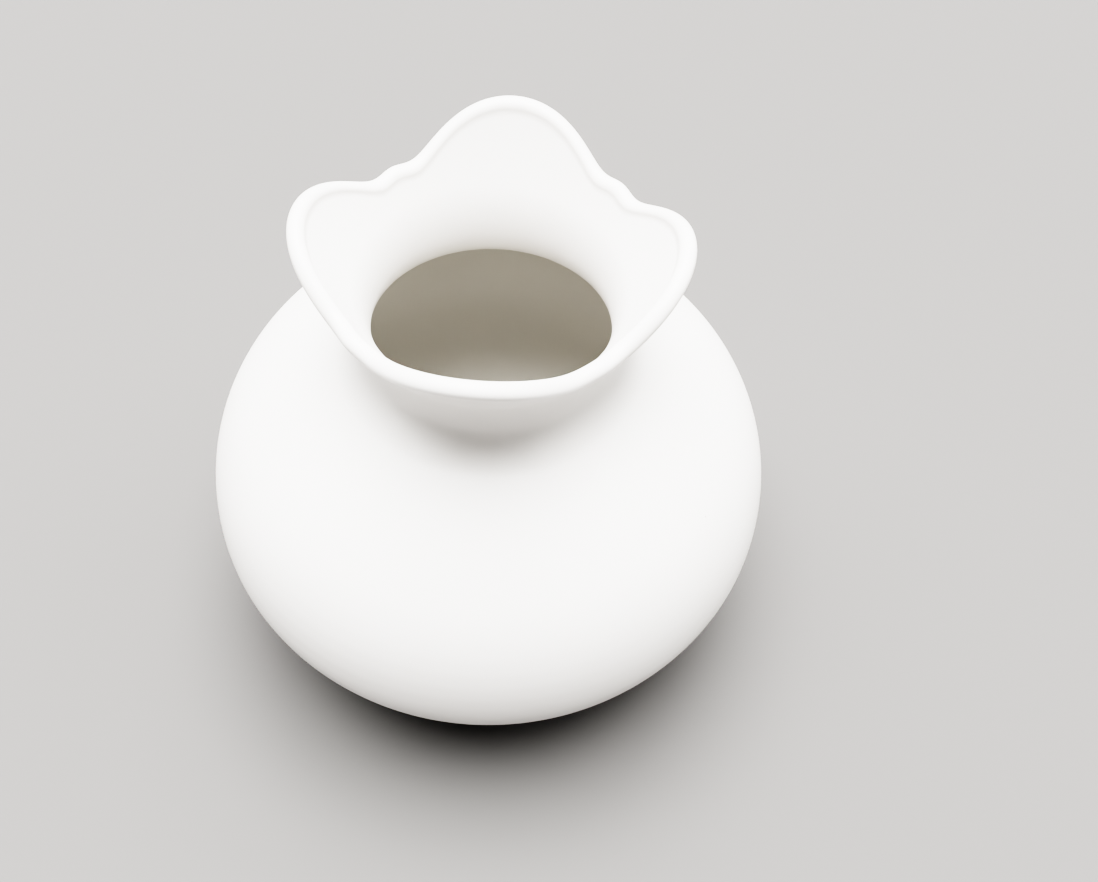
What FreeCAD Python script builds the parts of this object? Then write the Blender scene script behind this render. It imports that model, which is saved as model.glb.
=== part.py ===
"""Porcelain vase: a thrown and luted clay body with a ruffled lip, under coats of clear glaze.

Millimetres, +Z up. The origin is on the ground at the centre of the foot ring, and the four tall
lobes of the lip point along +X, +Y, -X and -Y.

Every surface of the vase is measured inwards from one outer outline by its depth: 0 is the outside
of the glaze, and wall_thickness is the inside of it. The outline is a chain of tangent arcs:
a sphere round the foot, two belly arcs that meet at the widest line, a shoulder sphere, the neck
hollow, the flare, and a straight cone up to the rolled edge of the lip.
"""
import FreeCAD, Part
import math
import os
import Sketcher
from FreeCAD import Vector

# Driving dimensions: alias, millimetres or degrees, meaning.
DIMENSIONS = [
    ("belly_radius", 65.0, "radius at the widest line"),
    ("belly_height", 42.5, "height of the widest line above the ground"),
    ("upper_belly_arc", 41.5, "radius of the arc above the widest line"),
    ("upper_belly_turn", 40.9, "degrees that arc turns before the shoulder sphere"),
    ("lower_belly_arc", 28.2, "radius of the arc below the widest line"),
    ("lower_belly_turn", 39.5, "degrees that arc turns before the base sphere"),
    ("neck_radius", 27.95, "outer radius at the narrowest line"),
    ("neck_arc", 10.7, "radius of the hollow between shoulder and neck"),
    ("flare_arc", 20.4, "radius of the curve from the neck into the flare"),
    ("flare_angle", 30.4, "degrees from vertical of the cone below the lip"),
    ("wall_thickness", 2.7, "whole wall, clay and both coats of glaze"),
    ("glaze_thickness", 0.3, "one coat of glaze"),
    ("foot_height", 3.0, "height of the foot ring"),
    ("foot_radius", 28.6, "outer radius of the foot ring"),
    ("foot_width", 3.6, "width of the foot ring"),
    ("foot_round", 0.7, "rounding of the edges that the vase stands on"),
    ("floor_thickness", 4.0, "clay floor inside the foot ring"),
    ("lute_depth", 1.5, "depth of the step in each luted seam"),
    ("key_width", 1.4, "width of the key between foot ring and floor"),
    ("key_height", 0.9, "height of that key"),
    ("neck_seam_outer", 29.0, "degrees from vertical of the neck seam, outer half of the wall"),
    ("neck_seam_inner", 31.0, "degrees from vertical of the neck seam, inner half of the wall"),
    ("lip_reach", 10.98, "mean distance up the cone to the lip's centre line"),
    ("lobe_rise", 6.03, "reach of the four lobes beyond the mean"),
    ("lobe_rounding", 0.47, "fullness that rounds the lobes' shoulders"),
    ("scallop_rise", 2.26, "reach of the small scallop between each two lobes"),
    ("scallop_spread", 7.2, "degrees round the axis from its peak to where it fades"),
    ("lip_lean", 0.6, "unevenness: two opposite scallops stand this much higher"),
    ("lip_round", 1.8, "radius of the rolled edge of the lip, thicker than the wall"),
    ("lip_hollow", 1.5, "radius of the hollows where the wall meets the rolled edge"),
]

LOBES = 4
SECTIONS = 144       # sections round the axis in the ruffled pieces

doc = FreeCAD.newDocument("porcelain_vase")
sizes = doc.addObject("Spreadsheet::Sheet", "sizes")
for row, (alias, number, meaning) in enumerate(DIMENSIONS, start=1):
    sizes.set("A%d" % row, meaning)
    sizes.set("B%d" % row, str(number))
    sizes.setAlias("B%d" % row, alias)
doc.recompute()


def value(expression):
    """Number that an expression on the sheet comes to."""
    result = sizes.evalExpression(expression.replace("sizes.", ""))
    return float(getattr(result, "Value", result))


# ---- the outline, as expressions on the sheet ------------------------------------------------

BELLY_Z = "sizes.belly_height"
UPPER_X = "(sizes.belly_radius - sizes.upper_belly_arc)"
LOWER_X = "(sizes.belly_radius - sizes.lower_belly_arc)"
# Both spheres have their centre on the axis and touch their belly arc.
SHOULDER_R = f"(sizes.upper_belly_arc + {UPPER_X} / cos(sizes.upper_belly_turn))"
SHOULDER_Z = f"({BELLY_Z} - {UPPER_X} * tan(sizes.upper_belly_turn))"
BASE_R = f"(sizes.lower_belly_arc + {LOWER_X} / cos(sizes.lower_belly_turn))"
BASE_Z = f"({BELLY_Z} + {LOWER_X} * tan(sizes.lower_belly_turn))"
NECK_X = "(sizes.neck_radius + sizes.neck_arc)"
NECK_Z = f"({SHOULDER_Z} + sqrt(({SHOULDER_R} + sizes.neck_arc)^2 - {NECK_X}^2))"
FLARE_X = "(sizes.neck_radius + sizes.flare_arc)"
FLOOR_Z = "(sizes.foot_height + sizes.floor_thickness)"
KEY_X = "(sizes.foot_radius - sizes.foot_width / 2)"

GLAZE_OUTSIDE = "0"
CLAY_OUTSIDE = "sizes.glaze_thickness"
MID_WALL = "(sizes.wall_thickness / 2)"
CLAY_INSIDE = "(sizes.wall_thickness - sizes.glaze_thickness)"
GLAZE_INSIDE = "sizes.wall_thickness"


def base_x(depth, height):
    """Radius of the base sphere at a height."""
    return f"sqrt(({BASE_R} - {depth})^2 - ({BASE_Z} - {height})^2)"


def lower_turn_z(depth):
    """Height where the base sphere meets the lower belly arc."""
    return f"({BELLY_Z} - (sizes.lower_belly_arc - {depth}) * sin(sizes.lower_belly_turn))"


def upper_turn_z(depth):
    """Height where the upper belly arc meets the shoulder sphere."""
    return f"({BELLY_Z} + (sizes.upper_belly_arc - {depth}) * sin(sizes.upper_belly_turn))"


def belly_x(depth):
    """Radius at the widest line."""
    return f"(sizes.belly_radius - {depth})"


def seam_point(depth, angle):
    """Point of the shoulder sphere at an angle from vertical."""
    radius = f"({SHOULDER_R} - {depth})"
    return f"{radius} * sin({angle})", f"({SHOULDER_Z} + {radius} * cos({angle}))"


LUTE_Z = f"({BELLY_Z} - sizes.lute_depth)"
LUTE_INNER_X = f"({LOWER_X} + sqrt((sizes.lower_belly_arc - {CLAY_INSIDE})^2 - sizes.lute_depth^2))"


# ---- sketches of the thrown pieces -----------------------------------------------------------

class Outline:
    """Closed outline of a thrown piece, in a sketch on the XZ plane, bound to the sheet."""

    def __init__(self, body, x, z):
        self.sketch = body.newObject("Sketcher::SketchObject", body.Name + "_profile")
        planes = [item for item in body.Origin.OriginFeatures if item.Role == "XZ_Plane"]
        self.sketch.AttachmentSupport = [(planes[0], "")]
        self.sketch.MapMode = "FlatFace"
        self.first = (x, z)
        self.here = (x, z)
        self.joined_to = None

    def bind(self, kind, geometry, point, expression):
        constraint = Sketcher.Constraint(kind, geometry, point, value(expression))
        index = self.sketch.addConstraint(constraint)
        name = "%s_%d_%d" % (kind, geometry, point)
        self.sketch.renameConstraint(index, name)
        self.sketch.setExpression("Constraints." + name, expression)

    def join(self, geometry, start, end):
        if self.joined_to is None:
            self.bind("DistanceX", geometry, start, self.first[0])
            self.bind("DistanceY", geometry, start, self.first[1])
            self.opening = (geometry, start)
        else:
            self.sketch.addConstraint(Sketcher.Constraint("Coincident", *self.joined_to, geometry, start))
        self.joined_to = (geometry, end)

    def line(self, x, z):
        """Straight side to a corner."""
        start = Vector(value(self.here[0]), value(self.here[1]), 0)
        geometry = self.sketch.addGeometry(Part.LineSegment(start, Vector(value(x), value(z), 0)))
        self.join(geometry, 1, 2)
        self.bind("DistanceX", geometry, 2, x)
        self.bind("DistanceY", geometry, 2, z)
        self.here = (x, z)

    def arc(self, centre, x, z, rising, bound="z"):
        """Arc about a centre to a point, of which one coordinate is bound. Rising runs anticlockwise."""
        middle = Vector(value(centre[0]), value(centre[1]), 0)
        start = Vector(value(self.here[0]), value(self.here[1]), 0) - middle
        end = Vector(value(x), value(z), 0) - middle
        circle = Part.Circle(middle, Vector(0, 0, 1), start.Length)
        angles = [math.atan2(start.y, start.x), math.atan2(end.y, end.x)]
        ends = (1, 2)
        if not rising:
            angles.reverse()
            ends = (2, 1)
        geometry = self.sketch.addGeometry(Part.ArcOfCircle(circle, *angles))
        self.join(geometry, *ends)
        self.bind("DistanceX", geometry, 3, centre[0])
        self.bind("DistanceY", geometry, 3, centre[1])
        if bound == "z":
            self.bind("DistanceY", geometry, ends[1], z)
        else:
            self.bind("DistanceX", geometry, ends[1], x)
        self.here = (x, z)

    def close(self):
        """Straight side back to the first corner."""
        start = Vector(value(self.here[0]), value(self.here[1]), 0)
        end = Vector(value(self.first[0]), value(self.first[1]), 0)
        geometry = self.sketch.addGeometry(Part.LineSegment(start, end))
        self.sketch.addConstraint(Sketcher.Constraint("Coincident", *self.joined_to, geometry, 1))
        self.sketch.addConstraint(Sketcher.Constraint("Coincident", geometry, 2, *self.opening))
        return self.sketch


def new_body(name):
    """Empty body that gives its name to its file."""
    body = doc.addObject("PartDesign::Body", name)
    body.Label = name
    body.Placement = FreeCAD.Placement()
    return body


def throw(body, sketch):
    """Turn the sketch once round the axis."""
    turned = body.newObject("PartDesign::Revolution", body.Name + "_turned")
    turned.Profile = sketch
    turned.ReferenceAxis = (sketch, ["V_Axis"])
    turned.Angle = 360.0
    sketch.Visibility = False
    body.Tip = turned
    doc.recompute()
    return turned


def make_foot_ring():
    """Ring that the vase stands on, with a key that sits in a groove under the floor."""
    body = new_body("foot_ring")
    inner = "(sizes.foot_radius - sizes.foot_width)"
    key_inner = f"({KEY_X} - sizes.key_width / 2)"
    key_outer = f"({KEY_X} + sizes.key_width / 2)"
    key_top = "(sizes.foot_height + sizes.key_height)"
    outline = Outline(body, inner, "0")
    outline.line("sizes.foot_radius", "0")
    outline.line("sizes.foot_radius", "sizes.foot_height")
    outline.line(key_outer, "sizes.foot_height")
    outline.line(key_outer, key_top)
    outline.line(key_inner, key_top)
    outline.line(key_inner, "sizes.foot_height")
    outline.line(inner, "sizes.foot_height")
    turned = throw(body, outline.close())
    standing_edges = []
    for number, edge in enumerate(turned.Shape.Edges, start=1):
        box = edge.BoundBox
        if box.ZMax < 0.01 and box.XLength > 1:
            standing_edges.append("Edge%d" % number)
    rounding = body.newObject("PartDesign::Fillet", "foot_ring_rounding")
    rounding.Base = (turned, standing_edges)
    rounding.Radius = value("sizes.foot_round")
    rounding.setExpression("Radius", "sizes.foot_round")
    body.Tip = rounding
    return body


def make_lower_body():
    """Bowl with the floor, from the foot up to the widest line."""
    body = new_body("lower_body")
    key_inner = f"({KEY_X} - sizes.key_width / 2)"
    key_outer = f"({KEY_X} + sizes.key_width / 2)"
    key_top = "(sizes.foot_height + sizes.key_height)"
    under = "sizes.foot_height"
    outline = Outline(body, "0", under)
    outline.line(key_inner, under)
    outline.line(key_inner, key_top)
    outline.line(key_outer, key_top)
    outline.line(key_outer, under)
    outline.line(base_x(CLAY_OUTSIDE, under), under)
    turn_x = f"({LOWER_X} + (sizes.lower_belly_arc - {CLAY_OUTSIDE}) * cos(sizes.lower_belly_turn))"
    outline.arc(("0", BASE_Z), turn_x, lower_turn_z(CLAY_OUTSIDE), rising=True)
    outline.arc((LOWER_X, BELLY_Z), belly_x(CLAY_OUTSIDE), BELLY_Z, rising=True)
    outline.line(belly_x(MID_WALL), BELLY_Z)
    outline.line(belly_x(MID_WALL), LUTE_Z)
    outline.line(LUTE_INNER_X, LUTE_Z)
    turn_x = f"({LOWER_X} + (sizes.lower_belly_arc - {CLAY_INSIDE}) * cos(sizes.lower_belly_turn))"
    outline.arc((LOWER_X, BELLY_Z), turn_x, lower_turn_z(CLAY_INSIDE), rising=False)
    outline.arc(("0", BASE_Z), base_x(CLAY_INSIDE, FLOOR_Z), FLOOR_Z, rising=False)
    outline.line("0", FLOOR_Z)
    throw(body, outline.close())
    return body


def make_upper_body():
    """Shoulder, from the widest line up to the neck seam, with a step down inside the bowl."""
    body = new_body("upper_body")
    outline = Outline(body, belly_x(CLAY_OUTSIDE), BELLY_Z)
    turn_x = f"({UPPER_X} + (sizes.upper_belly_arc - {CLAY_OUTSIDE}) * cos(sizes.upper_belly_turn))"
    outline.arc((UPPER_X, BELLY_Z), turn_x, upper_turn_z(CLAY_OUTSIDE), rising=True)
    shoulder = ("0", SHOULDER_Z)
    outline.arc(shoulder, *seam_point(CLAY_OUTSIDE, "sizes.neck_seam_outer"), rising=True)
    outline.line(*seam_point(MID_WALL, "sizes.neck_seam_outer"))
    outline.arc(shoulder, *seam_point(MID_WALL, "sizes.neck_seam_inner"), rising=False)
    outline.line(*seam_point(CLAY_INSIDE, "sizes.neck_seam_inner"))
    turn_x = f"({UPPER_X} + (sizes.upper_belly_arc - {CLAY_INSIDE}) * cos(sizes.upper_belly_turn))"
    outline.arc(shoulder, turn_x, upper_turn_z(CLAY_INSIDE), rising=False)
    outline.arc((UPPER_X, BELLY_Z), belly_x(CLAY_INSIDE), BELLY_Z, rising=False)
    outline.arc((LOWER_X, BELLY_Z), LUTE_INNER_X, LUTE_Z, rising=False)
    outline.line(belly_x(MID_WALL), LUTE_Z)
    outline.line(belly_x(MID_WALL), BELLY_Z)
    throw(body, outline.close())
    return body


def make_base_glaze():
    """Disc of glaze under the floor, inside the foot ring."""
    body = new_body("base_glaze")
    edge = "(sizes.foot_radius - sizes.foot_width)"
    lower = "(sizes.foot_height - sizes.glaze_thickness)"
    outline = Outline(body, "0", lower)
    outline.line(edge, lower)
    outline.line(edge, "sizes.foot_height")
    outline.line("0", "sizes.foot_height")
    throw(body, outline.close())
    return body


# ---- the ruffled pieces: sections lofted round the axis --------------------------------------

def lip_distance(angle):
    """Distance up the cone, from the end of the flare curve, to the lip's centre line in mid wall."""
    lobe = value("sizes.lobe_rise") * math.cos(LOBES * angle)
    rounding = value("sizes.lobe_rounding") * math.cos(2 * LOBES * angle)
    lean = value("sizes.lip_lean") * math.sin(2 * angle)
    between = 2 * math.pi / LOBES
    from_scallop = (angle % between - between / 2) / math.radians(value("sizes.scallop_spread"))
    scallop = value("sizes.scallop_rise") * math.exp(-from_scallop ** 2)
    return value("sizes.lip_reach") + lobe - rounding + lean + scallop


class Surface:
    """Points of the vase at one depth, each a pair: radius, height."""

    def __init__(self, depth):
        self.depth = value(depth)
        self.neck = value("sizes.neck_arc") + self.depth
        self.flare = value("sizes.flare_arc") + self.depth
        self.cone = math.radians(value("sizes.flare_angle"))
        self.neck_centre = (value(NECK_X), value(NECK_Z))
        self.flare_centre = (value(FLARE_X), value(NECK_Z))

    def on_arc(self, centre, radius, angle):
        return centre[0] + radius * math.cos(angle), centre[1] + radius * math.sin(angle)

    def base(self, height):
        return value(base_x(str(self.depth), str(height))), height

    def below_belly(self, turn):
        radius = value("sizes.lower_belly_arc") - self.depth
        return self.on_arc((value(LOWER_X), value(BELLY_Z)), radius, -math.radians(turn))

    def above_belly(self, turn):
        radius = value("sizes.upper_belly_arc") - self.depth
        return self.on_arc((value(UPPER_X), value(BELLY_Z)), radius, math.radians(turn))

    def base_sphere(self, angle_from_level):
        return self.on_arc((0, value(BASE_Z)), value(BASE_R) - self.depth, -angle_from_level)

    def shoulder_sphere(self, angle_from_vertical):
        radius = value(SHOULDER_R) - self.depth
        return self.on_arc((0, value(SHOULDER_Z)), radius, math.pi / 2 - angle_from_vertical)

    def neck_hollow(self, angle_below_level):
        return self.on_arc(self.neck_centre, self.neck, math.pi + angle_below_level)

    def flare_curve(self, angle_above_level):
        return self.on_arc(self.flare_centre, self.flare, math.pi - angle_above_level)

    def on_cone(self, along):
        """Point at a distance up the slope from the top of the flare curve."""
        radius, height = self.flare_curve(self.cone)
        return radius + along * math.sin(self.cone), height + along * math.cos(self.cone)


NECK_TURN = math.asin(value(NECK_X) / (value(SHOULDER_R) + value("sizes.neck_arc")))
OUTER_SEAM = math.radians(value("sizes.neck_seam_outer"))
INNER_SEAM = math.radians(value("sizes.neck_seam_inner"))
CONE = math.radians(value("sizes.flare_angle"))
UPPER_TURN = value("sizes.upper_belly_turn")
LOWER_TURN = value("sizes.lower_belly_turn")
SHOULDER_TOP = math.pi / 2 - math.radians(UPPER_TURN)


def run_up_neck(surface, along):
    """Steps from the shoulder sphere up the neck and the flare to a distance up the cone."""
    quarter = math.pi / 2
    return [
        ("arc", surface.neck_hollow((quarter - NECK_TURN) / 2), surface.neck_hollow(0)),
        ("arc", surface.flare_curve(CONE / 2), surface.flare_curve(CONE)),
        ("line", surface.on_cone(along)),
    ]


def run_up_body(surface, start_height):
    """First point, and steps from it up the base sphere and both belly arcs to the neck hollow."""
    start = surface.base(start_height)
    sphere_start = math.asin((value(BASE_Z) - start_height) / (value(BASE_R) - surface.depth))
    lower_turn = math.radians(LOWER_TURN)
    return start, [
        ("arc", surface.base_sphere((sphere_start + lower_turn) / 2), surface.below_belly(LOWER_TURN)),
        ("arc", surface.below_belly(LOWER_TURN / 2), surface.below_belly(0)),
        ("arc", surface.above_belly(UPPER_TURN / 2), surface.above_belly(UPPER_TURN)),
        ("arc", surface.shoulder_sphere((SHOULDER_TOP + NECK_TURN) / 2), surface.shoulder_sphere(NECK_TURN)),
    ]


def walked_back(start, steps):
    """Steps of the same run walked from its end back to its start."""
    corners = [start] + [step[-1] for step in steps]
    backward = []
    for index in range(len(steps) - 1, -1, -1):
        step = steps[index]
        if step[0] == "arc":
            backward.append(("arc", step[1], corners[index]))
        else:
            backward.append(("line", corners[index]))
    return backward


def section_wire(angle, start, steps):
    """Closed wire through the steps, in the half plane at an angle round the axis."""
    def place(point):
        return Vector(point[0] * math.cos(angle), point[0] * math.sin(angle), point[1])
    edges = []
    here = start
    for step in steps:
        if step[0] == "arc":
            edges.append(Part.Arc(place(here), place(step[1]), place(step[2])).toShape())
        else:
            edges.append(Part.LineSegment(place(here), place(step[1])).toShape())
        here = step[-1]
    edges.append(Part.LineSegment(place(here), place(start)).toShape())
    return Part.Wire(edges)


def ruffle(section_at):
    """Closed loft of a section that changes round the axis."""
    wires = []
    for index in range(SECTIONS):
        angle = 2 * math.pi * index / SECTIONS
        wires.append(section_wire(angle, *section_at(angle)))
    return Part.makeLoft(wires, True, False, True)


HOLLOW_OUT = value("sizes.wall_thickness / 2 + sizes.lip_hollow")
ROLL_REACH = value("sizes.lip_round + sizes.lip_hollow")
# The straight walls end this far below the centre of the rolled edge.
ROLL_FOOT = math.sqrt(ROLL_REACH ** 2 - HOLLOW_OUT ** 2)


def roll_over_lip(depth, along):
    """Steps from the outer wall over the rolled edge to the inner wall, at a depth under its surface."""
    middle = Surface(MID_WALL)
    slope = (math.sin(CONE), math.cos(CONE))
    buried = value(depth)
    roll = value("sizes.lip_round") - buried
    hollow = value("sizes.lip_hollow") + buried

    def place(up, out):
        foot = middle.on_cone(along + up)
        return foot[0] + out * slope[1], foot[1] - out * slope[0]

    def touch(side):
        return place(-roll * ROLL_FOOT / ROLL_REACH, side * roll * HOLLOW_OUT / ROLL_REACH)

    def hollow_middle(side):
        half_turn = math.asin(ROLL_FOOT / ROLL_REACH) / 2
        up = hollow * math.sin(half_turn) - ROLL_FOOT
        return place(up, side * (HOLLOW_OUT - hollow * math.cos(half_turn)))

    inner_foot = place(-ROLL_FOOT, buried - value(MID_WALL))
    return [
        ("arc", hollow_middle(1), touch(1)),
        ("arc", place(roll, 0), touch(-1)),
        ("arc", hollow_middle(-1), inner_foot),
    ]


def ruffled_feature(name, shape):
    """Sub-part whose shape no sketch can turn."""
    feature = doc.addObject("Part::Feature", name)
    feature.Label = name
    feature.Shape = shape
    feature.Placement = FreeCAD.Placement()
    return feature


def make_neck_and_lip():
    """Neck collar and flared lip in one piece of clay, with a stepped seam at the shoulder."""
    outer = Surface(CLAY_OUTSIDE)
    middle = Surface(MID_WALL)
    inner = Surface(CLAY_INSIDE)

    def section(angle):
        along = lip_distance(angle)
        wall_end = along - ROLL_FOOT
        start = outer.shoulder_sphere(OUTER_SEAM)
        between = outer.shoulder_sphere((OUTER_SEAM + NECK_TURN) / 2)
        steps = [("arc", between, outer.shoulder_sphere(NECK_TURN))]
        steps += run_up_neck(outer, wall_end)
        steps += roll_over_lip(CLAY_OUTSIDE, along)
        steps += walked_back(inner.shoulder_sphere(NECK_TURN), run_up_neck(inner, wall_end))
        between = inner.shoulder_sphere((INNER_SEAM + NECK_TURN) / 2)
        steps.append(("arc", between, inner.shoulder_sphere(INNER_SEAM)))
        steps.append(("line", middle.shoulder_sphere(INNER_SEAM)))
        between = middle.shoulder_sphere((INNER_SEAM + OUTER_SEAM) / 2)
        steps.append(("arc", between, middle.shoulder_sphere(OUTER_SEAM)))
        return start, steps

    return ruffled_feature("neck_and_lip", ruffle(section))


def make_outer_glaze():
    """Coat on the outside, from the top of the foot ring up and over the rolled edge of the lip."""
    outer = Surface(GLAZE_OUTSIDE)
    under = Surface(CLAY_OUTSIDE)
    clay_inner = Surface(CLAY_INSIDE)
    foot = value("sizes.foot_height")

    def section(angle):
        along = lip_distance(angle)
        wall_end = along - ROLL_FOOT
        start, steps = run_up_body(outer, foot)
        steps += run_up_neck(outer, wall_end)
        steps += roll_over_lip(GLAZE_OUTSIDE, along)
        steps.append(("line", clay_inner.on_cone(wall_end)))
        back_start, back = run_up_body(under, foot)
        back += run_up_neck(under, wall_end)
        back += roll_over_lip(CLAY_OUTSIDE, along)
        return start, steps + walked_back(back_start, back)

    return ruffled_feature("outer_glaze", ruffle(section))


def make_inner_glaze():
    """Coat on the inside, from the floor up to the rolled edge, where it meets the outer coat."""
    outer = Surface(CLAY_INSIDE)
    inner = Surface(GLAZE_INSIDE)
    floor = value(FLOOR_Z)
    floor_top = floor + value("sizes.glaze_thickness")

    def section(angle):
        wall_end = lip_distance(angle) - ROLL_FOOT
        start, steps = run_up_body(outer, floor)
        steps += run_up_neck(outer, wall_end)
        steps.append(("line", inner.on_cone(wall_end)))
        back_start, up = run_up_body(inner, floor_top)
        return start, steps + walked_back(back_start, up + run_up_neck(inner, wall_end))

    sleeve = ruffle(section)
    # The sleeve is open at the floor: its narrow lower rim gives way to two discs.
    walls = []
    discs = []
    for face in sleeve.Faces:
        if face.BoundBox.ZMax > floor_top + 0.01:
            walls.append(face)
            continue
        for edge in face.Edges:
            if edge.isClosed() and edge.BoundBox.XLength > 1:
                discs.append(Part.Face(Part.Wire([edge])))
    shell = Part.Shell(walls + discs)
    shell.sewShape()
    return ruffled_feature("inner_glaze", Part.Solid(shell))


def main():
    pieces = [
        make_foot_ring(),
        make_lower_body(),
        make_upper_body(),
        make_neck_and_lip(),
        make_outer_glaze(),
        make_inner_glaze(),
        make_base_glaze(),
    ]
    doc.recompute()
    for item in doc.Objects:
        if "Invalid" in item.State or "Error" in item.State:
            raise RuntimeError("%s did not recompute: %s" % (item.Name, item.State))
    os.makedirs("parts", exist_ok=True)
    for piece in pieces:
        shape = piece.Shape
        if shape.isNull() or not shape.isValid() or len(shape.Solids) != 1:
            raise RuntimeError("%s is not one valid solid" % piece.Label)
    for piece in pieces:
        piece.Shape.exportStep("parts/%s.step" % piece.Label)
        box = piece.Shape.BoundBox
        print("%-14s volume %9.1f  z %.2f to %.2f  x %.2f to %.2f"
              % (piece.Label, piece.Shape.Volume, box.ZMin, box.ZMax, box.XMin, box.XMax))


main()
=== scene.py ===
"""Looks of the porcelain vase: smooth fired glaze over the packed clay pieces, on a plain floor.

Metres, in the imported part's own frame: +Z up, origin on the ground under the axis, lobes along X and Y.
"""

import math

import bmesh
import bpy
import numpy as np
from mathutils import Matrix, Vector


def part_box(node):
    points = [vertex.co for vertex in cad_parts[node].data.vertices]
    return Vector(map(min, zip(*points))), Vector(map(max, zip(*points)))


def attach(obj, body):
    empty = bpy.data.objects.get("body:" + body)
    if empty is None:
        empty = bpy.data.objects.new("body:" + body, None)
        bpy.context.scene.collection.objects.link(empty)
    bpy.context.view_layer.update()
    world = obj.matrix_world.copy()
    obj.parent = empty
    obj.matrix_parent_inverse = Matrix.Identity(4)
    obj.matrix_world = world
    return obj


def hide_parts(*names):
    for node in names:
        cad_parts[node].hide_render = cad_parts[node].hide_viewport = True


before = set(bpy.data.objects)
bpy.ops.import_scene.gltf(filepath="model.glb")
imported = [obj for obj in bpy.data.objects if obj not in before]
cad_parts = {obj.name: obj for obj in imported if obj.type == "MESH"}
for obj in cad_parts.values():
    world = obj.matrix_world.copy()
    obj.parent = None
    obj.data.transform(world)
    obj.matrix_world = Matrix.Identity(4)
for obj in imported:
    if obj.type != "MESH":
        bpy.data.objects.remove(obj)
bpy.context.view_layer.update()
MM = 0.001

# ---- sizes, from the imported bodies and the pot's own arcs ------------------------------------

BELLY_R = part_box("outer_glaze")[1].x
BELLY_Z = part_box("lower_body")[1].z
FOOT_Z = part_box("outer_glaze")[0].z
FLOOR_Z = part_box("inner_glaze")[0].z
GLAZE = BELLY_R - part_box("lower_body")[1].x
WALL = BELLY_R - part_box("inner_glaze")[1].x + GLAZE
BASE_GLAZE_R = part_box("base_glaze")[1].x

UPPER_ARC = 41.5 * MM
UPPER_TURN = math.radians(40.9)
LOWER_ARC = 28.2 * MM
LOWER_TURN = math.radians(39.5)
NECK_R = 27.95 * MM
NECK_ARC = 10.7 * MM
FLARE_ARC = 20.4 * MM
FLARE_ANGLE = math.radians(30.4)
LOBES = 4
LIP_REACH = 10.98 * MM
LOBE_RISE = 6.03 * MM
LOBE_ROUNDING = 0.47 * MM
SCALLOP_RISE = 2.26 * MM
SCALLOP_SPREAD = math.radians(7.2)
LIP_LEAN = 0.60 * MM
LIP_ROUND = 1.8 * MM
LIP_HOLLOW = 3.5 * MM

UPPER_X = BELLY_R - UPPER_ARC
LOWER_X = BELLY_R - LOWER_ARC
SHOULDER_SPHERE = UPPER_ARC + UPPER_X / math.cos(UPPER_TURN)
SHOULDER_Z = BELLY_Z - UPPER_X * math.tan(UPPER_TURN)
BASE_SPHERE = LOWER_ARC + LOWER_X / math.cos(LOWER_TURN)
BASE_Z = BELLY_Z + LOWER_X * math.tan(LOWER_TURN)
NECK_X = NECK_R + NECK_ARC
NECK_Z = SHOULDER_Z + math.sqrt((SHOULDER_SPHERE + NECK_ARC) ** 2 - NECK_X ** 2)
NECK_TURN = math.asin(NECK_X / (SHOULDER_SPHERE + NECK_ARC))
FLARE_X = NECK_R + FLARE_ARC
HOLLOW_OUT = WALL / 2 + LIP_HOLLOW
# The straight walls end ROLL_FOOT below the centre of the rolled edge, and meet it over ROLL_TURN.
ROLL_TURN = math.acos(HOLLOW_OUT / (LIP_ROUND + LIP_HOLLOW))
ROLL_FOOT = (LIP_ROUND + LIP_HOLLOW) * math.sin(ROLL_TURN)

AROUND = 480          # points round the axis
BASE_ROWS = 20        # points up the base sphere
CONE_ROWS = 16        # points up the straight flare
HOLLOW_ROWS = 6       # points round the hollow under the rolled edge
ROLL_ROWS = 30        # points over the rolled edge
SKIN = 0.012 * MM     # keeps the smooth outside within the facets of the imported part
OUTER_RINGS = 0.020 * MM
INNER_RINGS = 0.035 * MM
RING_PITCH = 4.2 * MM
RING_FADE = 8 * MM
RING_DRIFT = 61       # radians in each metre, of how the depth of the rings comes and goes
POOLING = 1.4 * MM    # how far the glaze rounds the corner of the floor

# Colours are linear.
GLAZE_PALE = (0.885, 0.862, 0.838)
GLAZE_CLOUD = (0.865, 0.843, 0.818)
# Painted shade: below the throat the inner coat is darker than a real white glaze, for the tone of a bowl in
# shade.
INNER_PAINTED_SHADE = (0.575, 0.556, 0.515)
THICK_GLAZE = (0.74, 0.735, 0.705)
IRON_SPECK = (0.12, 0.09, 0.07)
BISCUIT_LIGHT = (0.74, 0.70, 0.64)
BISCUIT_DARK = (0.64, 0.59, 0.52)
# The floor is dark grey by itself. The strong lights and the high-contrast view show it pale.
FLOOR_COLOUR = (0.092, 0.090, 0.089, 1)
FLOOR_SIZE = 60.0

LIGHT_COLOUR = (1.0, 0.985, 0.965, 1)
WORLD_LIGHT = 0.10
BACKDROP = 0.62
OVERHEAD = 14.0
SIDES = 1.6
RIGHT_SHARE = 1.1     # the right light is a little stronger than the left
BEHIND = 3.2

# The camera looks down at the pot, which stands left of the middle of the picture.
POT_CENTRE = Vector((0, 0, BELLY_Z))
AZIMUTH = math.radians(6.36)
ELEVATION = math.radians(55.87)
DISTANCE = 0.3198
LENS, SENSOR = 43.2, 36.0
TURN = math.radians(-2.52)
TILT = math.radians(0.96)
ROLL = math.radians(0.31)


# ---- the outline at a depth inside the glaze's surface ----------------------------------------

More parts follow.
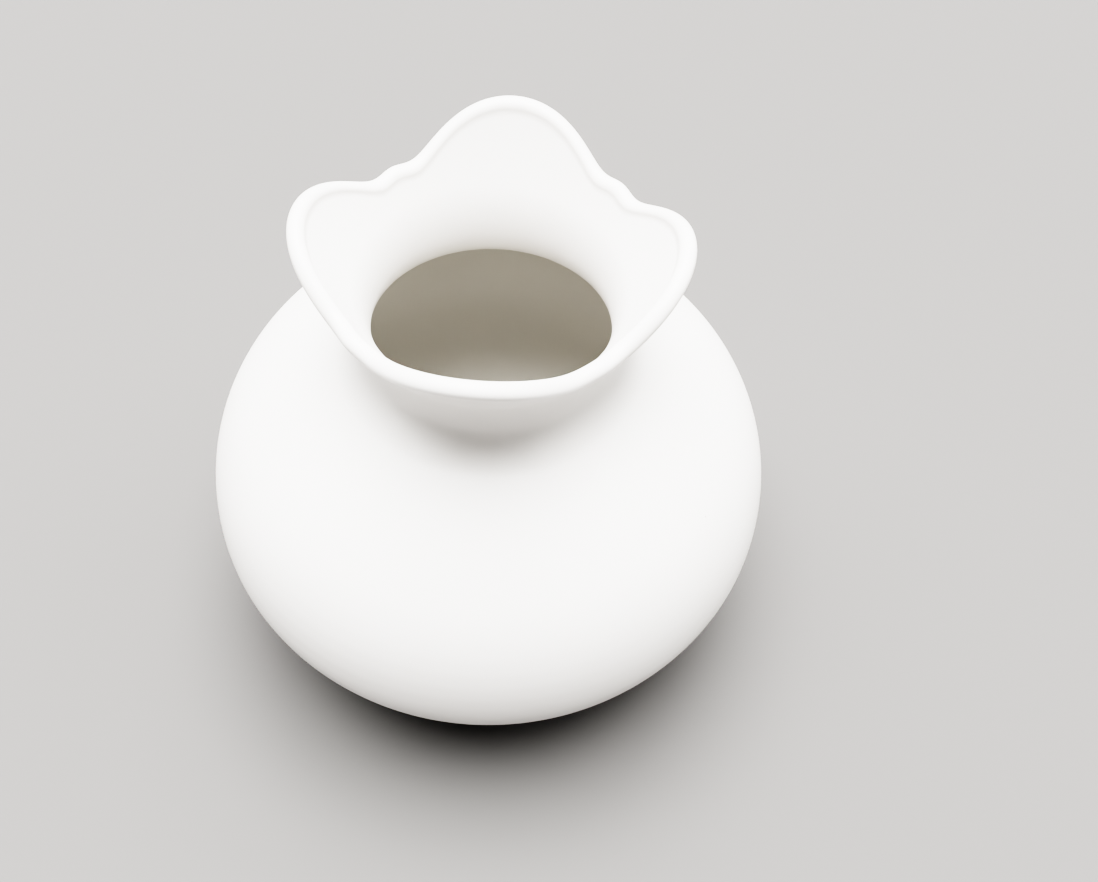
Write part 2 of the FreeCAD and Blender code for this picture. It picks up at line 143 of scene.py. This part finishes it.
def arc_run(centre, radius, start, end, count):
    """Points along an arc, without its first one."""
    angles = start + (end - start) * np.arange(1, count + 1) / count
    return np.stack([centre[0] + radius * np.cos(angles), centre[1] + radius * np.sin(angles)], axis=1)


def body_run(depth, start_z):
    """Radius and height from a height on the base sphere up to the throat, and on up the flare curve."""
    base_angle = -math.asin((BASE_Z - start_z) / (BASE_SPHERE - depth))
    base_radius = BASE_SPHERE - depth
    first = np.array([[base_radius * math.cos(base_angle), start_z]])
    half = math.pi / 2
    return np.concatenate([
        first,
        arc_run((0, BASE_Z), base_radius, base_angle, -LOWER_TURN, BASE_ROWS),
        arc_run((LOWER_X, BELLY_Z), LOWER_ARC - depth, -LOWER_TURN, 0, 24),
        arc_run((UPPER_X, BELLY_Z), UPPER_ARC - depth, 0, UPPER_TURN, 34),
        arc_run((0, SHOULDER_Z), SHOULDER_SPHERE - depth, UPPER_TURN, half - NECK_TURN, 28),
        arc_run((NECK_X, NECK_Z), NECK_ARC + depth, math.pi + half - NECK_TURN, math.pi, 22),
        arc_run((FLARE_X, NECK_Z), FLARE_ARC + depth, math.pi, math.pi - FLARE_ANGLE, 18),
    ])


def cone_point(depth, along):
    """Point of the cone, a distance up the slope from the flare curve."""
    radius = FLARE_X - (FLARE_ARC + depth) * math.cos(FLARE_ANGLE) + along * math.sin(FLARE_ANGLE)
    height = NECK_Z + (FLARE_ARC + depth) * math.sin(FLARE_ANGLE) + along * math.cos(FLARE_ANGLE)
    return radius, height


def lip_distance(angle):
    """Distance up the cone to the lip's centre line: four lobes, and a small scallop between each two."""
    lobe = LOBE_RISE * math.cos(LOBES * angle)
    rounding = LOBE_ROUNDING * math.cos(2 * LOBES * angle)
    lean = LIP_LEAN * math.sin(2 * angle)
    between = 2 * math.pi / LOBES
    from_scallop = (angle % between - between / 2) / SCALLOP_SPREAD
    scallop = SCALLOP_RISE * math.exp(-from_scallop ** 2)
    return LIP_REACH + lobe - rounding + lean + scallop


def cone_run(depth, along, count):
    """Points up the straight flare from the flare curve, without the first of them."""
    steps = np.arange(1, count + 1) / count * along
    return np.array([cone_point(depth, step) for step in steps])


def roll_run(depth, along):
    """Points over the rolled edge from the outer wall to the inner one, without the first of them."""
    turn = ROLL_TURN * np.arange(1, HOLLOW_ROWS + 1) / HOLLOW_ROWS
    hollow = LIP_HOLLOW + depth
    over = -ROLL_TURN + (math.pi + 2 * ROLL_TURN) * np.arange(1, ROLL_ROWS + 1) / ROLL_ROWS
    roll = LIP_ROUND - depth
    up = np.concatenate([hollow * np.sin(turn) - ROLL_FOOT, roll * np.sin(over)])
    out = np.concatenate([HOLLOW_OUT - hollow * np.cos(turn), roll * np.cos(over)])
    back = turn[::-1][1:]
    up = np.concatenate([up, hollow * np.sin(back) - ROLL_FOOT, [-ROLL_FOOT]])
    out = np.concatenate([out, hollow * np.cos(back) - HOLLOW_OUT, [depth - WALL / 2]])
    centre = cone_point(WALL / 2, along)
    radius = centre[0] + up * math.sin(FLARE_ANGLE) + out * math.cos(FLARE_ANGLE)
    height = centre[1] + up * math.cos(FLARE_ANGLE) - out * math.sin(FLARE_ANGLE)
    return np.stack([radius, height], axis=1)


# ---- hand-made surface ---------------------------------------------------------------------------

def throwing_rings(points, angle, depth, side):
    """Sink a visible run, given from the foot upwards, by the spiral ridges left by the potter's fingers.

    The glaze lies inwards where side is 1, and outwards where it is -1.
    """
    steps = np.diff(points, axis=0)
    lengths = np.linalg.norm(steps, axis=1)
    along = np.concatenate([[0.0], np.cumsum(lengths)])
    slopes = np.gradient(points, along, axis=0)
    slopes /= np.linalg.norm(slopes, axis=1)[:, None]
    into_glaze = np.stack([-slopes[:, 1], slopes[:, 0]], axis=1) * side
    turns = along / RING_PITCH - angle / (2 * math.pi)
    uneven = 0.6 + 0.4 * np.sin(along * RING_DRIFT + 2 * math.sin(angle))
    ends = np.clip(along / RING_FADE, 0, 1) * np.clip((along[-1] - along) / RING_FADE, 0, 1)
    sink = depth * (0.5 + 0.5 * np.sin(2 * math.pi * turns)) * uneven * ends
    return points + into_glaze * sink[:, None]


def hand_wobble(angle):
    """Slow unevenness round the pot, between nothing and one."""
    slow = 0.25 * math.sin(2 * angle + 0.6)
    middle = 0.15 * math.sin(3 * angle + 2.1)
    quick = 0.1 * math.sin(5 * angle)
    return 0.5 + slow + middle + quick


# ---- meshes ------------------------------------------------------------------------------------

def spin(name, section_at, sharp_rows):
    """Closed skin of sections round the axis. Rows in sharp_rows keep a hard edge."""
    angles = 2 * math.pi * np.arange(AROUND) / AROUND
    sections = [section_at(angle) for angle in angles]
    rows = len(sections[0])
    verts = []
    for angle, section in zip(angles, sections):
        cosine, sine = math.cos(angle), math.sin(angle)
        verts.extend((r * cosine, r * sine, z) for r, z in section)
    faces = []
    for index in range(AROUND):
        here = index * rows
        there = (index + 1) % AROUND * rows
        for row in range(rows):
            above = (row + 1) % rows
            faces.append((here + row, there + row, there + above, here + above))
    mesh = bpy.data.meshes.new(name)
    mesh.from_pydata(verts, [], faces)
    work = bmesh.new()
    work.from_mesh(mesh)
    for face in work.faces:
        face.smooth = True
    for edge in work.edges:
        a, b = (vert.index for vert in edge.verts)
        if a % rows == b % rows and a % rows in sharp_rows:
            edge.smooth = False
    bmesh.ops.remove_doubles(work, verts=work.verts, dist=1e-7)
    bmesh.ops.recalc_face_normals(work, faces=work.faces)
    work.to_mesh(mesh)
    work.free()
    piece = bpy.data.objects.new(name, mesh)
    bpy.context.scene.collection.objects.link(piece)
    return piece


def make_outer_coat():
    """Outer coat, from a rolled edge above the foot ring up and over the lip."""
    edge_round = GLAZE / 2
    outside = body_run(SKIN, FOOT_Z + edge_round)
    under = body_run(GLAZE, FOOT_Z + edge_round)
    edge = np.array([[(outside[0][0] + under[0][0]) / 2, FOOT_Z]])
    roll_rows = 2 * HOLLOW_ROWS + ROLL_ROWS

    def section(angle):
        along = lip_distance(angle)
        wall_end = along - ROLL_FOOT
        wall = np.concatenate([outside, cone_run(SKIN, wall_end, CONE_ROWS)])
        rings = OUTER_RINGS * (0.4 + 0.6 * hand_wobble(angle))
        return np.concatenate([
            throwing_rings(wall, angle, rings, 1),
            roll_run(SKIN, along),
            roll_run(GLAZE, along)[::-1],
            cone_run(GLAZE, wall_end, CONE_ROWS)[::-1],
            under[::-1],
            edge,
        ])

    inner_edge = len(outside) + CONE_ROWS + roll_rows - 1
    return spin("outer_coat", section, {inner_edge, inner_edge + 1})


def pooled_floor(depth, floor, pooling, count):
    """Inside of the bowl from the axis outwards: a flat floor that runs up into the base sphere."""
    reach = LOWER_X + (LOWER_ARC - depth) * math.cos(LOWER_TURN)
    radii = np.linspace(0, reach, count + 1)
    wall = BASE_Z - np.sqrt((BASE_SPHERE - depth) ** 2 - radii ** 2)
    heights = (wall + floor + np.sqrt((wall - floor) ** 2 + pooling ** 2)) / 2
    heights[-1] = wall[-1]
    return np.stack([radii, heights], axis=1)


def make_inner_coat():
    """Inner coat, from glaze pooled on the floor up to the lip."""
    inside = np.concatenate([
        pooled_floor(WALL, FLOOR_Z + GLAZE, POOLING, 56),
        body_run(WALL, FLOOR_Z + GLAZE)[BASE_ROWS + 1:],
    ])
    back = body_run(WALL - GLAZE, FLOOR_Z)
    under = np.stack([np.linspace(back[0][0], 0, 10)[1:], np.full(9, FLOOR_Z)], axis=1)

    def section(angle):
        wall_end = lip_distance(angle) - ROLL_FOOT
        wall = np.concatenate([inside, cone_run(WALL, wall_end, CONE_ROWS)])
        return np.concatenate([
            throwing_rings(wall, angle, INNER_RINGS, -1),
            cone_run(WALL - GLAZE, wall_end, CONE_ROWS)[::-1],
            back[::-1],
            under,
        ])

    rim = len(inside) + CONE_ROWS - 1
    return spin("inner_coat", section, {rim, rim + 1})


def make_base_coat():
    """Disc of glaze under the floor, its edge rounded where it stops short of the foot ring."""
    gap = 0.35 * MM
    edge_round = GLAZE / 2
    top = FOOT_Z
    lower = top - GLAZE
    centre = (BASE_GLAZE_R - gap - edge_round, top - edge_round)
    edge = arc_run(centre, edge_round, -math.pi / 2, math.pi / 2, 8)
    flat = np.stack([np.linspace(0, edge[0][0], 40), np.full(40, lower)], axis=1)
    back = np.stack([np.linspace(edge[-1][0], 0, 12)[1:], np.full(11, top)], axis=1)

    def section(angle):
        return np.concatenate([flat, edge, back])

    return spin("base_coat", section, set())


for piece, node, slot in (
    (make_outer_coat(), "outer_glaze", "outer_glaze"),
    (make_inner_coat(), "inner_glaze", "inner_glaze"),
    (make_base_coat(), "base_glaze", "outer_glaze"),
):
    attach(piece, "root")
    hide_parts(node)


# ---- materials ---------------------------------------------------------------------------------

class Nodes:
    """Short ways to add and join shader nodes."""

    def __init__(self, name):
        self.material = bpy.data.materials.new(name)
        self.material.use_nodes = True
        self.tree = self.material.node_tree
        self.shader = self.tree.nodes["Principled BSDF"]
        self.place = self.add("ShaderNodeTexCoord").outputs["Object"]

    def add(self, kind, **settings):
        node = self.tree.nodes.new(kind)
        for key, setting in settings.items():
            setattr(node, key, setting)
        return node

    def join(self, source, target):
        self.tree.links.new(source, target)

    def noise(self, size, detail=2.0):
        """Noise whose features are about size metres across."""
        node = self.add("ShaderNodeTexNoise")
        node.inputs["Scale"].default_value = 1 / size
        node.inputs["Detail"].default_value = detail
        self.join(self.place, node.inputs["Vector"])
        return node.outputs["Fac"]

    def ranged(self, source, low, high, new_low, new_high):
        """Source from low to high, mapped smoothly to the new range."""
        node = self.add("ShaderNodeMapRange", interpolation_type="SMOOTHSTEP")
        self.join(source, node.inputs["Value"])
        for key, number in zip(("From Min", "From Max", "To Min", "To Max"), (low, high, new_low, new_high)):
            node.inputs[key].default_value = number
        return node.outputs["Result"]

    def maths(self, operation, first, second):
        node = self.add("ShaderNodeMath", operation=operation)
        for slot, source in enumerate((first, second)):
            if isinstance(source, float):
                node.inputs[slot].default_value = source
            else:
                self.join(source, node.inputs[slot])
        return node.outputs["Value"]

    def blend(self, share, first, second):
        """Colour that goes from first to second."""
        node = self.add("ShaderNodeMix", data_type="RGBA")
        self.join(share, node.inputs["Factor"])
        for slot, colour in (("A", first), ("B", second)):
            socket = [item for item in node.inputs if item.name == slot and item.type == "RGBA"][0]
            if isinstance(colour, tuple):
                socket.default_value = (*colour, 1)
            else:
                self.join(colour, socket)
        return [item for item in node.outputs if item.type == "RGBA"][0]

    def specks(self, spacing, size, share):
        """One at the middle of a few scattered dots, falling to nothing at their edge."""
        cells = self.add("ShaderNodeTexVoronoi")
        cells.inputs["Scale"].default_value = 1 / spacing
        self.join(self.place, cells.inputs["Vector"])
        dot = self.ranged(cells.outputs["Distance"], 0.0, size / spacing, 1.0, 0.0)
        pick = self.add("ShaderNodeSeparateColor")
        self.join(cells.outputs["Color"], pick.inputs["Color"])
        chosen = self.maths("GREATER_THAN", pick.outputs["Red"], 1.0 - share)
        return self.maths("MULTIPLY", dot, chosen)

    def bump(self, height, distance, below=None):
        node = self.add("ShaderNodeBump")
        node.inputs["Strength"].default_value = 1.0
        node.inputs["Distance"].default_value = distance
        self.join(height, node.inputs["Height"])
        if below is not None:
            self.join(below, node.inputs["Normal"])
        return node.outputs["Normal"]


def glaze(name, pale, deep, low, low_from, low_to):
    """Clear glaze over white clay, with slow clouds, an orange-peel skin, pinholes and a few iron specks.

    The low colour is full at height low_from and gone at low_to: thicker glaze near the foot on the outer
    coat, painted shade in the bowl below the throat on the inner coat.
    """
    mat = Nodes(name)
    clouds = mat.ranged(mat.noise(0.030, 3.0), 0.35, 0.65, 0.0, 1.0)
    colour = mat.blend(clouds, pale, deep)
    height = mat.add("ShaderNodeSeparateXYZ")
    mat.join(mat.place, height.inputs["Vector"])
    colour = mat.blend(mat.ranged(height.outputs["Z"], low_from, low_to, 1.0, 0.0), colour, low)
    iron = mat.specks(17 * MM, 0.30 * MM, 0.22)
    colour = mat.blend(mat.maths("MULTIPLY", iron, 0.75), colour, IRON_SPECK)
    mat.join(colour, mat.shader.inputs["Base Color"])
    mat.join(mat.ranged(mat.noise(0.012, 3.0), 0.3, 0.7, 0.34, 0.42), mat.shader.inputs["Roughness"])
    skin = mat.bump(mat.noise(6 * MM, 1.0), 0.020 * MM)
    peel = mat.bump(mat.noise(1.1 * MM, 2.0), 0.0025 * MM, skin)
    pinholes = mat.maths("MULTIPLY", mat.specks(6 * MM, 0.22 * MM, 0.10), -1.0)
    mat.join(mat.bump(pinholes, 0.06 * MM, peel), mat.shader.inputs["Normal"])
    mat.shader.inputs["IOR"].default_value = 1.5
    return mat.material


def bare_clay(name):
    """Fired, unglazed porcelain: matt and faintly gritty."""
    mat = Nodes(name)
    mat.join(mat.blend(mat.noise(4 * MM, 4.0), BISCUIT_LIGHT, BISCUIT_DARK), mat.shader.inputs["Base Color"])
    mat.join(mat.ranged(mat.noise(2 * MM), 0.3, 0.7, 0.70, 0.85), mat.shader.inputs["Roughness"])
    grit = mat.bump(mat.noise(0.35 * MM, 3.0), 0.03 * MM)
    mat.join(mat.bump(mat.noise(3 * MM, 1.0), 0.04 * MM, grit), mat.shader.inputs["Normal"])
    return mat.material


def wear(piece, material):
    piece.data.materials.clear()
    piece.data.materials.append(material)


outer = glaze("outer_glaze_white", GLAZE_PALE, GLAZE_CLOUD, THICK_GLAZE, FOOT_Z, FOOT_Z + 5 * MM)
# The inner coat's low colour, from the throat down into the bowl, is painted shade.
inner = glaze("inner_glaze_with_painted_shade", GLAZE_PALE, GLAZE_CLOUD, INNER_PAINTED_SHADE, NECK_Z - 16 * MM, NECK_Z + 2 * MM)
clay = bare_clay("bare_porcelain")
for name in ("outer_coat", "base_coat"):
    wear(bpy.data.objects[name], outer)
wear(bpy.data.objects["inner_coat"], inner)
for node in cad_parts.values():
    wear(node, clay)

# ---- floor, light and camera ---------------------------------------------------------------------

bpy.ops.mesh.primitive_plane_add(size=FLOOR_SIZE, location=(0, 0, 0))
floor = bpy.context.object
floor.name = "floor"
grey = bpy.data.materials.new("plain_floor")
grey.use_nodes = True
grey.node_tree.nodes["Principled BSDF"].inputs["Base Color"].default_value = FLOOR_COLOUR
grey.node_tree.nodes["Principled BSDF"].inputs["Roughness"].default_value = 0.9
floor.data.materials.append(grey)

world = bpy.data.worlds.new("studio")
bpy.context.scene.world = world
world.use_nodes = True
background = world.node_tree.nodes["Background"]
background.inputs["Color"].default_value = LIGHT_COLOUR
# The backdrop is as pale as the floor where the camera sees it, and dim as a light.
seen = world.node_tree.nodes.new("ShaderNodeLightPath")
tone = world.node_tree.nodes.new("ShaderNodeMapRange")
tone.inputs["To Min"].default_value = WORLD_LIGHT
tone.inputs["To Max"].default_value = BACKDROP
world.node_tree.links.new(seen.outputs["Is Camera Ray"], tone.inputs["Value"])
world.node_tree.links.new(tone.outputs["Result"], background.inputs["Strength"])


def soft_light(name, direction, spread, strength):
    """Wide, far light from a direction, which lights the floor evenly out to the horizon."""
    light = bpy.data.lights.new(name, "SUN")
    light.angle = math.radians(spread)
    light.energy = strength
    light.color = LIGHT_COLOUR[:3]
    lamp = bpy.data.objects.new(name, light)
    bpy.context.scene.collection.objects.link(lamp)
    lamp.location = Vector(direction)
    lamp.rotation_mode = "QUATERNION"
    lamp.rotation_quaternion = Vector(direction).to_track_quat("Z", "Y")


soft_light("overhead", (-0.04, 0.05, 0.91), 50, OVERHEAD)
soft_light("left", (-0.62, 0.25, 0.76), 40, SIDES)
soft_light("right", (0.62, 0.25, 0.76), 40, SIDES * RIGHT_SHARE)
soft_light("behind", (0.0, 0.62, 0.91), 40, BEHIND)

camera_data = bpy.data.cameras.new("camera")
camera_data.lens, camera_data.sensor_width = LENS, SENSOR
camera_data.clip_start = 0.01
camera = bpy.data.objects.new("camera", camera_data)
bpy.context.scene.collection.objects.link(camera)
level = math.cos(ELEVATION)
back = Vector((math.sin(AZIMUTH) * level, -math.cos(AZIMUTH) * level, math.sin(ELEVATION)))
facing = back.to_track_quat("Z", "Y").to_matrix().to_4x4()
turned = Matrix.Rotation(ROLL, 4, "Z") @ Matrix.Rotation(TILT, 4, "X") @ Matrix.Rotation(TURN, 4, "Y")
camera.matrix_world = Matrix.Translation(POT_CENTRE + back * DISTANCE) @ facing @ turned
bpy.context.scene.camera = camera
bpy.context.scene.view_settings.view_transform = "Filmic"
bpy.context.scene.view_settings.look = "Very High Contrast"
